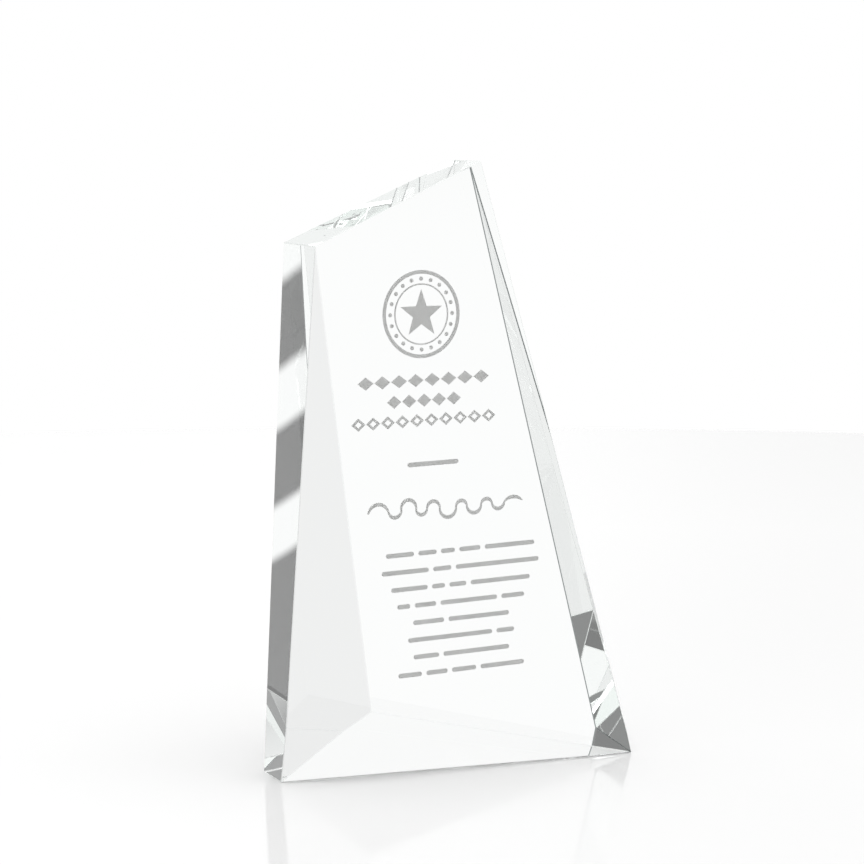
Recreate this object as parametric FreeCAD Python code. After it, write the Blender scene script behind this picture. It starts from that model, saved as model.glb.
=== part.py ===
"""Clear crystal award: one tall faceted block of optical crystal that stands on its own flat foot.

Frame: millimetres, +Z up, the award faces -Y. The origin is the centre of the bounding box on
the surface that the foot rests on. The block is sawn as a plain slab and its facets are then
ground one by one, each a flat plane through three corners. Every arris gets a narrow polished
bevel. The artwork on the front is sandblasted: shallow pockets with a frosted floor.
"""
import FreeCAD, Part
import math
import os

Vector = FreeCAD.Vector

# ---- driving dimensions of the block ----
overall_height = 254.0
overall_width = 159.6
foot_depth = 22.0
top_slope_angle = 23.66        # the top climbs from left to right
top_back_right_from_foot = 73.3
left_face_lean = 2.56          # the left face leans in as it rises
right_face_lean = 16.15        # the right face leans in as it rises
front_face_turn = 7.41         # the main front face turns towards the right
front_face_lean = 0.86         # and leans back a little
front_undercut_angle = 28.2    # the big facet under the front face
ridge_foot_from_right = 126.1  # where the ridge of the left bevel meets the undercut
bevel_toe_from_right = 136.5   # where the left bevel, the undercut and the left heel meet
bevel_toe_height = 21.9
left_heel_height = 23.1
back_heel_from_right = 12.6
back_heel_height = 9.2
back_foot_from_right = 14.7
arris_width = 0.55

# ---- driving dimensions of the etched artwork, across and up the front face ----
etch_depth = 0.45
frost_thickness = 0.30
artwork_tilt = 1.1
emblem_centre = (-102.0, 191.8)
emblem_radius = 18.0
title_axis = -101.0
recipient_axis = -91.0
citation_axis = -84.0
title_heights = (164.8, 156.5, 148.3)
title_counts = (8, 5, 10)
title_widths = (62.0, 35.0, 68.0)
title_mark_height = 5.3
dedication_height = 130.4
recipient_height = 111.8
citation_top = 93.9
citation_pitch = 7.15
word_bar_height = 1.9


def tangent(degrees):
    return math.tan(math.radians(degrees))


# ---- planes that the corners lie on ----
foot_corner_x = overall_width / 2
left_foot_x = -overall_width / 2
top_back_right_x = foot_corner_x - top_back_right_from_foot
top_left_reach = tangent(left_face_lean)
top_left_height = ((overall_height + tangent(top_slope_angle) * (left_foot_x - top_back_right_x))
                   / (1 - tangent(top_slope_angle) * top_left_reach))
top_left_x = left_foot_x + top_left_reach * top_left_height


def front_offset(x, z):
    """How far the main front face stands from the front edge of the foot, at x and height z."""
    return tangent(front_face_turn) * (x - foot_corner_x) + tangent(front_face_lean) * z


overall_depth = foot_depth - front_offset(top_left_x, top_left_height)
back_y = overall_depth / 2
foot_front_y = back_y - foot_depth


def on_front(x, z):
    return Vector(x, foot_front_y + front_offset(x, z), z)


def on_back(x, z):
    return Vector(x, back_y, z)


def undercut_point(x, z):
    return Vector(x, foot_front_y - tangent(front_undercut_angle) * z, z)


# ---- corners of the block ----
ridge_foot_x = foot_corner_x - ridge_foot_from_right
ridge_foot_z = (-tangent(front_face_turn) * (ridge_foot_x - foot_corner_x)
                / (tangent(front_face_lean) + tangent(front_undercut_angle)))

front_left_foot = Vector(left_foot_x, foot_front_y, 0)
front_right_foot = Vector(foot_corner_x, foot_front_y, 0)
back_right_foot = on_back(foot_corner_x - back_foot_from_right, 0)
back_heel = on_back(foot_corner_x - back_heel_from_right, back_heel_height)
top_back_right = on_back(top_back_right_x, overall_height)
top_front_left = on_front(top_left_x, top_left_height)
top_back_left = on_back(top_left_x, top_left_height)
back_left_foot = on_back(left_foot_x, 0)
ridge_foot = on_front(ridge_foot_x, ridge_foot_z)
bevel_toe = undercut_point(foot_corner_x - bevel_toe_from_right, bevel_toe_height)


def height_on_bevel(x, z):
    """The point of the long left bevel at x and height z."""
    normal = (ridge_foot - top_front_left).cross(bevel_toe - top_front_left)
    offset = normal.x * (x - bevel_toe.x) + normal.z * (z - bevel_toe.z)
    return Vector(x, bevel_toe.y - offset / normal.y, z)


left_heel = height_on_bevel(left_foot_x + top_left_reach * left_heel_height, left_heel_height)
block_centre = Vector(0, 0, overall_height / 3)
along_depth = Vector(0, 1, 0)
down_right_face = Vector(tangent(right_face_lean), 0, -1)

facets = (
    (front_right_foot, top_front_left, ridge_foot),                 # main front face
    (top_front_left, top_front_left + along_depth, top_back_right),  # sloping top
    (top_back_left, back_left_foot, back_left_foot + along_depth),   # left face
    (top_front_left, ridge_foot, bevel_toe),                        # long left bevel
    (front_left_foot, front_right_foot, ridge_foot),                # undercut below the front
    (left_heel, bevel_toe, front_left_foot),                        # left heel
    (top_back_right, top_back_right + along_depth, top_back_right + down_right_face),  # right face
    (top_back_right, front_right_foot, back_heel),                  # long right bevel
    (front_right_foot, back_right_foot, back_heel),                 # back heel
)


def half_space(point, outward):
    """A big block that fills the side of a plane that is ground away."""
    reach = 4 * overall_height
    thickness = reach
    tool = Part.makeBox(reach, reach, thickness, Vector(-reach / 2, -reach / 2, 0))
    turn = FreeCAD.Rotation(Vector(0, 0, 1), outward)
    tool.Placement = FreeCAD.Placement(point, turn)
    return tool


def grind(block, a, b, c):
    """Grind the block flat on the plane through three corners."""
    outward = (b - a).cross(c - a)
    outward.normalize()
    if outward.dot(block_centre - a) > 0:
        outward = outward * -1
    return block.cut(half_space(a, outward))


def polish_arrises(block):
    """Take a narrow flat off every edge, all of the same width."""
    polished = block
    for edge in block.Edges:
        sides = block.ancestorsOfType(edge, Part.Face)
        first = sides[0].normalAt(0, 0)
        second = sides[1].normalAt(0, 0)
        outward = first + second
        outward.normalize()
        half_angle = math.acos(outward.dot(first))
        inset = arris_width / 2 * math.tan(half_angle)
        polished = polished.cut(half_space(edge.CenterOfMass - outward * inset, outward))
    return polished


def make_block():
    block = Part.makeBox(overall_width, overall_depth, overall_height,
                         Vector(-overall_width / 2, -overall_depth / 2, 0))
    for a, b, c in facets:
        block = grind(block, a, b, c)
    return polish_arrises(block.removeSplitter().Solids[0])


# ---- artwork, drawn flat and then laid on the front face ----
def flat_face(points):
    outline = Part.makePolygon(points + [points[0]])
    return Part.Face(outline)


def disc(centre, radius):
    circle = Part.Circle(Vector(centre[0], centre[1], 0), Vector(0, 0, 1), radius)
    return Part.Face(Part.Wire(circle.toShape()))


def ring(centre, outer, inner):
    return disc(centre, outer).cut(disc(centre, inner))


def star(centre, outer, inner, points):
    corners = []
    for step in range(2 * points):
        radius = outer if step % 2 == 0 else inner
        angle = math.pi / 2 + math.pi * step / points
        corners.append(Vector(centre[0] + radius * math.cos(angle),
                              centre[1] + radius * math.sin(angle), 0))
    return flat_face(corners)


def beads(centre, circle_radius, bead_radius, count):
    placed = []
    for step in range(count):
        angle = 2 * math.pi * step / count
        spot = (centre[0] + circle_radius * math.cos(angle), centre[1] + circle_radius * math.sin(angle))
        placed.append(disc(spot, bead_radius))
    return placed


def lozenge(centre, width, height):
    x, y = centre
    return flat_face([Vector(x - width / 2, y, 0), Vector(x, y - height / 2, 0),
                      Vector(x + width / 2, y, 0), Vector(x, y + height / 2, 0)])


def lozenge_row(centre, width, height, count, hollow):
    """A frieze of lozenges in place of a line of bold writing."""
    pitch = width / count
    row = []
    for step in range(count):
        spot = (centre[0] + pitch * (step - (count - 1) / 2), centre[1])
        mark = lozenge(spot, pitch * 0.94, height)
        if hollow:
            mark = mark.cut(lozenge(spot, pitch * 0.46, height * 0.50))
        row.append(mark)
    return row


def rounded_bar(centre, length, height):
    """A bar with round ends, for one word of small writing."""
    x, y = centre
    radius = height / 2
    straight = length / 2 - radius
    top = Part.makeLine(Vector(x - straight, y + radius, 0), Vector(x + straight, y + radius, 0))
    right = Part.Arc(Vector(x + straight, y + radius, 0), Vector(x + straight + radius, y, 0),
                     Vector(x + straight, y - radius, 0)).toShape()
    low = Part.makeLine(Vector(x + straight, y - radius, 0), Vector(x - straight, y - radius, 0))
    left = Part.Arc(Vector(x - straight, y - radius, 0), Vector(x - straight - radius, y, 0),
                    Vector(x - straight, y + radius, 0)).toShape()
    return Part.Face(Part.Wire([top, right, low, left]))


def word_row(centre, words, height):
    """A line of small writing as plain bars, one per word, with a gap between words."""
    gap = 2.2
    total = sum(words) + gap * (len(words) - 1)
    start = centre[0] - total / 2
    row = []
    for length in words:
        row.append(rounded_bar((start + length / 2, centre[1]), length, height))
        start += length + gap
    return row


def stroke_arc(start_x, end_x, y, rise):
    """One arc of a pen stroke from start_x to end_x, thin at its ends and thick in the middle."""
    thin = 0.36 if rise > 0 else -0.36
    thick = 2.2 * thin
    middle = (start_x + end_x) / 2
    outer_start = Vector(start_x - abs(thin), y, 0)
    outer_end = Vector(end_x + abs(thin), y, 0)
    inner_start = Vector(start_x + abs(thin), y, 0)
    inner_end = Vector(end_x - abs(thin), y, 0)
    outer = Part.Arc(outer_start, Vector(middle, y + rise + thick, 0), outer_end).toShape()
    inner = Part.Arc(inner_end, Vector(middle, y + rise - thick, 0), inner_start).toShape()
    near = Part.makeLine(outer_end, inner_end)
    far = Part.makeLine(inner_start, outer_start)
    return Part.Face(Part.Wire([outer, near, inner, far]))


def flourish(centre, width, spans, rises):
    """A rolling pen stroke of arcs that go over and under the line by turns."""
    scale = width / sum(spans)
    x = centre[0] - width / 2
    stroke = None
    for step, (span, rise) in enumerate(zip(spans, rises)):
        side = 1 if step % 2 == 0 else -1
        arc = stroke_arc(x, x + span * scale, centre[1], side * rise)
        stroke = arc if stroke is None else stroke.fuse(arc)
        x += span * scale
    return stroke.removeSplitter().Faces


stroke_spans = (11, 7, 8, 6, 7, 9, 6, 8, 6, 7, 10)
stroke_rises = (3.6, 2.4, 4.4, 2.2, 3.0, 4.2, 2.2, 3.4, 2.0, 2.6, 1.8)

citation_words = (
    (13.0, 8.5, 6.5, 10.0, 24.0),
    (22.0, 8.5, 40.0),
    (17.0, 6.0, 8.0, 28.5),
    (6.0, 10.0, 27.0, 11.0),
    (14.5, 29.0),
    (40.0, 8.5),
    (12.0, 31.5),
    (11.0, 10.0, 11.5, 21.0),
)


def tilted(faces, pivot):
    placed = []
    for face in faces:
        turned = face.copy()
        turned.rotate(Vector(pivot[0], pivot[1], 0), Vector(0, 0, 1), artwork_tilt)
        placed.append(turned)
    return placed


def front_placement():
    """Lay flat artwork on the front face: across from the right foot corner, and up the face."""
    across = on_front(foot_corner_x, 0) - on_front(foot_corner_x - 1, 0)
    across.normalize()
    inward = across.cross(on_front(foot_corner_x, 1) - on_front(foot_corner_x, 0)) * -1
    inward.normalize()
    up = inward.cross(across)
    outward = inward * -1
    turn = FreeCAD.Rotation(across, up, outward, "ZXY")
    return FreeCAD.Placement(front_right_foot, turn)


def sink(faces, depth_from, depth_to):
    """Solids that fill the artwork's outline between two depths below the front face."""
    solids = []
    for face in faces:
        slab = face.copy()
        slab.translate(Vector(0, 0, -depth_to))
        slab = slab.extrude(Vector(0, 0, depth_to - depth_from))
        slab.Placement = front_placement().multiply(slab.Placement)
        solids.append(slab)
    return solids


def make_artwork():
    artwork = {
        "etched_emblem_rim": [ring(emblem_centre, emblem_radius, emblem_radius - 1.5)],
        "etched_emblem_inner_ring": [ring(emblem_centre, 12.6, 12.0)],
        "etched_emblem_beads": beads(emblem_centre, 14.5, 0.85, 20),
        "etched_emblem_star": [star(emblem_centre, 10.2, 4.1, 5)],
    }
    lines = zip(title_heights, title_counts, title_widths)
    for number, (height, count, width) in enumerate(lines, start=1):
        spot = (title_axis, height)
        hollow = number == len(title_counts)
        row = lozenge_row(spot, width, title_mark_height, count, hollow)
        artwork["etched_title_frieze_%d" % number] = tilted(row, spot)
    spot = (recipient_axis - 6.0, dedication_height)
    artwork["etched_dedication_rule"] = tilted([rounded_bar(spot, 24.0, word_bar_height)], spot)
    spot = (recipient_axis, recipient_height)
    artwork["etched_recipient_flourish"] = tilted(flourish(spot, 73.0, stroke_spans, stroke_rises), spot)
    for number, words in enumerate(citation_words, start=1):
        spot = (citation_axis, citation_top - citation_pitch * (number - 1))
        artwork["etched_citation_line_%d" % number] = tilted(word_row(spot, words, word_bar_height), spot)
    return artwork


def export(name, solids):
    shape = solids[0] if len(solids) == 1 else Part.makeCompound(solids)
    shape.exportStep("parts/%s.step" % name)


def main():
    os.makedirs("parts", exist_ok=True)
    block = make_block()
    pockets = []
    for name, faces in make_artwork().items():
        frost = sink(faces, etch_depth - frost_thickness, etch_depth)
        pockets += sink(faces, -1.0, etch_depth)
        export(name, frost)
    export("crystal_block", [block.cut(pockets).Solids[0]])
    box = block.BoundBox
    print("block box", box.XMin, box.XMax, box.YMin, box.YMax, box.ZMin, box.ZMax)
    print("faces", len(block.Faces), "volume", block.Volume, "valid", block.isValid())


main()
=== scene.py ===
import math

import bmesh
import bpy
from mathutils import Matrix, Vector


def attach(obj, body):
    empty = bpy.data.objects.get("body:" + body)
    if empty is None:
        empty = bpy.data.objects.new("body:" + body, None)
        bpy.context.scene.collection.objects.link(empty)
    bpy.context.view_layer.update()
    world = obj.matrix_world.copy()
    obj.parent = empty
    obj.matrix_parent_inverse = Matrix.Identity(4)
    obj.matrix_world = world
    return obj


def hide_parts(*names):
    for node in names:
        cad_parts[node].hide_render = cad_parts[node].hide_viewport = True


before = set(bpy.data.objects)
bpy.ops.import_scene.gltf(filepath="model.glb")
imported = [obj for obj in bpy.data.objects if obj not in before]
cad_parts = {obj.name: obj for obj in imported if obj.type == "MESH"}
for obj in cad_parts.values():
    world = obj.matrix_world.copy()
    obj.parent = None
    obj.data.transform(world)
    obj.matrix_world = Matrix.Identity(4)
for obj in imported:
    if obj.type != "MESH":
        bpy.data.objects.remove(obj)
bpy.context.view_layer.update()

# ---- camera and stage, in metres and degrees ----
CAMERA_PLACE = (-0.4917, -1.1867, 0.2747)
CAMERA_TURN = 22.02
CAMERA_DIP = 5.93
LENS = 129.2
FLOOR_REACH = 1.4

# ---- optics of the crystal ----
GLASS_IOR = 1.517
CRYSTAL_TINT = (0.992, 0.996, 0.994, 1)
POLISH_RIPPLE = 0.002
LONGEST_PATH = 32
FROST_SHOWS_THROUGH = 0.75

# ---- studio, by direction: pale table and sweep, dim room, dark right side with strip lights ----
SWEEP_MIDDLE = 1.0
SWEEP_EDGE = 0.88
SWEEP_FALL_OFF = (0.86, 0.92)
SWEEP_STARTS = (0.44, 0.50)
SWEEP_HEIGHTS = (-0.1, 0.50)
TABLE_EDGE = (-0.02, 0.04)
ROOM_SHADE = 0.25
CEILING_EDGE = (0.80, 0.86)
DARK_SIDE = (0.86, 0.88)
DARK_SIDE_FRONT = (0.0, 0.05)
DARK_SIDE_SHADE = 0.02
STRIP_COUNT = 3
STRIP_FIRST = 0.50
STRIP_PITCH = 0.07
STRIP_HALF_WIDTH = 0.015
STRIP_LEAN = 1.5
LEFT_BOX = (0.25, 0.50)
LEFT_BOX_EDGE = (-0.44, -0.40)
OVERHEAD_SPREAD = 70
OVERHEAD_TILT = 15
OVERHEAD_STRENGTH = 2.5

# ---- table: plain and pale, darkened only by the block's own shadow ----
FLOOR_SHADE = 0.77
FLOOR_GAP = 0.0003

# ---- reading the CAD block: corners closer than this are one; narrower facets are arrises ----
MERGE_DISTANCE = 2e-6
ARRIS_WIDEST = 0.0009


def new_material(name):
    material = bpy.data.materials.new(name)
    material.use_nodes = True
    material.node_tree.nodes.clear()
    return material, material.node_tree


def add_node(tree, kind, **sockets):
    node = tree.nodes.new(kind)
    for name, value in sockets.items():
        node.inputs[name.replace("_", " ")].default_value = value
    return node


def link(tree, source, node, name):
    tree.links.new(source, node.inputs[name])


def noise(tree, scale, detail):
    """Fine grain fixed to the piece, from 0 to 1."""
    place = tree.nodes.new("ShaderNodeTexCoord")
    grain = add_node(tree, "ShaderNodeTexNoise", Scale=scale, Detail=detail)
    link(tree, place.outputs["Object"], grain, "Vector")
    return grain.outputs["Fac"]


def crystal_material():
    """Clear optical crystal, hand polished: its facets are a very little wavy."""
    material, tree = new_material("clear_crystal")
    glass = add_node(tree, "ShaderNodeBsdfGlass", Color=CRYSTAL_TINT, Roughness=0.0, IOR=GLASS_IOR)
    ripple = add_node(tree, "ShaderNodeBump", Strength=POLISH_RIPPLE, Distance=0.001)
    link(tree, noise(tree, 22.0, 1.0), ripple, "Height")
    link(tree, ripple.outputs[0], glass, "Normal")
    output = add_node(tree, "ShaderNodeOutputMaterial")
    link(tree, glass.outputs[0], output, "Surface")
    return material


def arris_material(name, tint):
    """The narrow bevels are ground and only half polished, so they blur what they show."""
    material, tree = new_material(name)
    glass = add_node(tree, "ShaderNodeBsdfGlass", Color=tint, IOR=GLASS_IOR)
    wear = tree.nodes.new("ShaderNodeMapRange")
    wear.inputs["To Min"].default_value = 0.22
    wear.inputs["To Max"].default_value = 0.38
    link(tree, noise(tree, 400.0, 2.0), wear, "Value")
    link(tree, wear.outputs[0], glass, "Roughness")
    output = add_node(tree, "ShaderNodeOutputMaterial")
    link(tree, glass.outputs[0], output, "Surface")
    return material


def frost_material():
    """Sandblasted crystal: a fine white grain that lets some light through."""
    material, tree = new_material("frosted_etching")
    grain = noise(tree, 3500.0, 2.0)
    shade = tree.nodes.new("ShaderNodeValToRGB")
    shade.color_ramp.elements[0].position = 0.3
    shade.color_ramp.elements[0].color = (0.90, 0.90, 0.89, 1)
    shade.color_ramp.elements[1].position = 0.7
    shade.color_ramp.elements[1].color = (0.99, 0.99, 0.99, 1)
    link(tree, grain, shade, "Fac")
    pitting = add_node(tree, "ShaderNodeBump", Strength=0.35, Distance=0.0001)
    link(tree, grain, pitting, "Height")
    diffuse = add_node(tree, "ShaderNodeBsdfDiffuse", Roughness=0.8)
    through = add_node(tree, "ShaderNodeBsdfTranslucent")
    for shader in (diffuse, through):
        link(tree, shade.outputs["Color"], shader, "Color")
        link(tree, pitting.outputs[0], shader, "Normal")
    mix = add_node(tree, "ShaderNodeMixShader", Fac=FROST_SHOWS_THROUGH)
    tree.links.new(diffuse.outputs[0], mix.inputs[1])
    tree.links.new(through.outputs[0], mix.inputs[2])
    # a mark is left out of reflections inside the block, where second images would crowd the facets
    path = tree.nodes.new("ShaderNodeLightPath")
    clear = tree.nodes.new("ShaderNodeBsdfTransparent")
    seen_once = tree.nodes.new("ShaderNodeMixShader")
    tree.links.new(combine(tree, "GREATER_THAN", path.outputs["Glossy Depth"], 0.5), seen_once.inputs[0])
    tree.links.new(mix.outputs[0], seen_once.inputs[1])
    tree.links.new(clear.outputs[0], seen_once.inputs[2])
    output = add_node(tree, "ShaderNodeOutputMaterial")
    link(tree, seen_once.outputs[0], output, "Surface")
    return material


def crystal_piece():
    """The block without its etched pockets: the hull of the CAD block, with flat clean facets."""
    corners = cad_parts["crystal_block"].data.vertices
    work = bmesh.new()
    for corner in corners:
        work.verts.new(corner.co)
    hull = bmesh.ops.convex_hull(work, input=work.verts)
    spare = hull["geom_interior"] + hull["geom_unused"]
    inside = {item for item in spare if isinstance(item, bmesh.types.BMVert)}
    bmesh.ops.delete(work, geom=list(inside), context="VERTS")
    bmesh.ops.remove_doubles(work, verts=work.verts, dist=MERGE_DISTANCE)
    bmesh.ops.dissolve_limit(work, angle_limit=math.radians(0.2), verts=work.verts, edges=work.edges)
    bmesh.ops.recalc_face_normals(work, faces=work.faces)
    mesh = bpy.data.meshes.new("crystal")
    work.to_mesh(mesh)
    work.free()
    mesh.materials.append(crystal_material())
    mesh.materials.append(arris_material("satin_arris", (0.98, 0.99, 0.985, 1)))
    # painted shade: the back-right arrises get a dark grey glass tint so they read darker, a colour the
    # clear crystal does not have
    mesh.materials.append(arris_material("painted_shade_arris", (0.28, 0.30, 0.30, 1)))
    for facet in mesh.polygons:
        corners = [mesh.vertices[index].co for index in facet.vertices]
        longest = max((a - b).length for a in corners for b in corners)
        if facet.area / longest < ARRIS_WIDEST:
            # arrises facing back and to the right take the painted shade tint; the others stay clear
            back_right = facet.normal.x > 0.4 and facet.normal.y > 0.3
            facet.material_index = 2 if back_right else 1
    piece = bpy.data.objects.new("crystal", mesh)
    bpy.context.collection.objects.link(piece)
    return piece


def ramp(tree, value, low, high, start, end):
    """A soft step from start to end as value goes from low to high."""
    step = tree.nodes.new("ShaderNodeMapRange")
    step.interpolation_type = "SMOOTHSTEP"
    settings = {"From Min": low, "From Max": high, "To Min": start, "To Max": end}
    for name, number in settings.items():
        step.inputs[name].default_value = number
    link(tree, value, step, "Value")
    return step.outputs[0]


def combine(tree, operation, first, second):
    """The output of a Math node on two terms, each a number or another node's output."""
    node = tree.nodes.new("ShaderNodeMath")
    node.operation = operation
    for index, term in enumerate((first, second)):
        if isinstance(term, (int, float)):
            node.inputs[index].default_value = term
        else:
            tree.links.new(term, node.inputs[index])
    return node.outputs[0]


def between(tree, value, low, high, soft):
    """One inside the range, nothing outside it."""
    rise = ramp(tree, value, low - soft, low + soft, 0.0, 1.0)
    fall = ramp(tree, value, high - soft, high + soft, 1.0, 0.0)
    return combine(tree, "MULTIPLY", rise, fall)


def dark_side(tree, forward, up):
    """The dark right-hand side of the room, with a row of equal leaning strip lights."""
    across = combine(tree, "ADD", up, combine(tree, "MULTIPLY", forward, STRIP_LEAN))
    light = DARK_SIDE_SHADE
    for index in range(STRIP_COUNT):
        middle = STRIP_FIRST - index * STRIP_PITCH
        strip = between(tree, across, middle - STRIP_HALF_WIDTH, middle + STRIP_HALF_WIDTH, 0.004)
        light = combine(tree, "MAXIMUM", light, strip)
    return light


def make_world():
    """A room by direction, all in grey, for the crystal; what the camera sees directly is white."""
    world = bpy.data.worlds.new("studio")
    world.use_nodes = True
    bpy.context.scene.world = world
    tree = world.node_tree
    tree.nodes.clear()
    coordinates = tree.nodes.new("ShaderNodeTexCoord")
    split = tree.nodes.new("ShaderNodeSeparateXYZ")
    tree.links.new(coordinates.outputs["Generated"], split.inputs[0])
    side, forward, up = (split.outputs[name] for name in "XYZ")
    sweep = ramp(tree, forward, *SWEEP_FALL_OFF, SWEEP_EDGE, SWEEP_MIDDLE)
    table = combine(tree, "MULTIPLY", sweep, ramp(tree, up, *TABLE_EDGE, 1.0, ROOM_SHADE))
    backdrop = combine(tree, "MULTIPLY", sweep, between(tree, up, *SWEEP_HEIGHTS, 0.03))
    backdrop = combine(tree, "MULTIPLY", backdrop, ramp(tree, forward, *SWEEP_STARTS, 0.0, 1.0))
    light = combine(tree, "MAXIMUM", table, backdrop)
    left_box = ramp(tree, side, *LEFT_BOX_EDGE, 1.0, 0.0)
    left_box = combine(tree, "MULTIPLY", left_box, between(tree, up, *LEFT_BOX, 0.02))
    light = combine(tree, "MAXIMUM", light, left_box)
    is_dark = ramp(tree, side, *DARK_SIDE, 0.0, 1.0)
    is_dark = combine(tree, "MULTIPLY", is_dark, ramp(tree, forward, *DARK_SIDE_FRONT, 0.0, 1.0))
    light = combine(tree, "MULTIPLY", light, combine(tree, "SUBTRACT", 1.0, is_dark))
    light = combine(tree, "ADD", light, combine(tree, "MULTIPLY", is_dark, dark_side(tree, forward, up)))
    light = combine(tree, "MAXIMUM", light, ramp(tree, up, *CEILING_EDGE, 0.0, 1.0))
    light_path = tree.nodes.new("ShaderNodeLightPath")
    shown = combine(tree, "MAXIMUM", light, light_path.outputs["Is Camera Ray"])
    background = tree.nodes.new("ShaderNodeBackground")
    link(tree, shown, background, "Color")
    output = tree.nodes.new("ShaderNodeOutputWorld")
    link(tree, background.outputs[0], output, "Surface")


def make_floor():
    """A plain pale disc; the crystal reflects and refracts the world's table in place of it."""
    mesh = bpy.data.meshes.new("floor")
    work = bmesh.new()
    bmesh.ops.create_circle(work, cap_ends=True, segments=96, radius=FLOOR_REACH)
    work.to_mesh(mesh)
    work.free()
    floor = bpy.data.objects.new("floor", mesh)
    floor.location.z = -FLOOR_GAP
    bpy.context.collection.objects.link(floor)
    floor.visible_glossy = False
    floor.visible_transmission = False
    material, tree = new_material("pale_table")
    surface = add_node(tree, "ShaderNodeBsdfPrincipled", Roughness=0.08)
    surface.inputs["Specular IOR Level"].default_value = 0.12
    surface.inputs["Base Color"].default_value = (FLOOR_SHADE, FLOOR_SHADE, FLOOR_SHADE, 1)
    output = add_node(tree, "ShaderNodeOutputMaterial")
    tree.links.new(surface.outputs[0], output.inputs["Surface"])
    mesh.materials.append(material)


def make_camera():
    data = bpy.data.cameras.new("camera")
    data.lens = LENS
    camera = bpy.data.objects.new("camera", data)
    camera.location = CAMERA_PLACE
    camera.rotation_euler = (math.radians(90 - CAMERA_DIP), 0, math.radians(-CAMERA_TURN))
    bpy.context.collection.objects.link(camera)
    bpy.context.scene.camera = camera


def make_lights():
    data = bpy.data.lights.new("overhead", "SUN")
    data.angle = math.radians(OVERHEAD_SPREAD)
    data.energy = OVERHEAD_STRENGTH
    light = bpy.data.objects.new("overhead", data)
    light.rotation_euler = (math.radians(OVERHEAD_TILT), 0, 0)
    bpy.context.collection.objects.link(light)


# light is trapped between the facets for many reflections, and shorter paths leave them grey
bpy.context.scene.cycles.max_bounces = LONGEST_PATH
bpy.context.scene.cycles.glossy_bounces = LONGEST_PATH
bpy.context.scene.cycles.transmission_bounces = LONGEST_PATH
make_camera()
make_world()
make_floor()
make_lights()
bpy.context.scene.view_settings.view_transform = "Standard"

crystal = crystal_piece()
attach(crystal, "root")
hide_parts("crystal_block")

frost = frost_material()
for name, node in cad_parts.items():
    if name.startswith("etched_"):
        node.data.materials.clear()
        node.data.materials.append(frost)
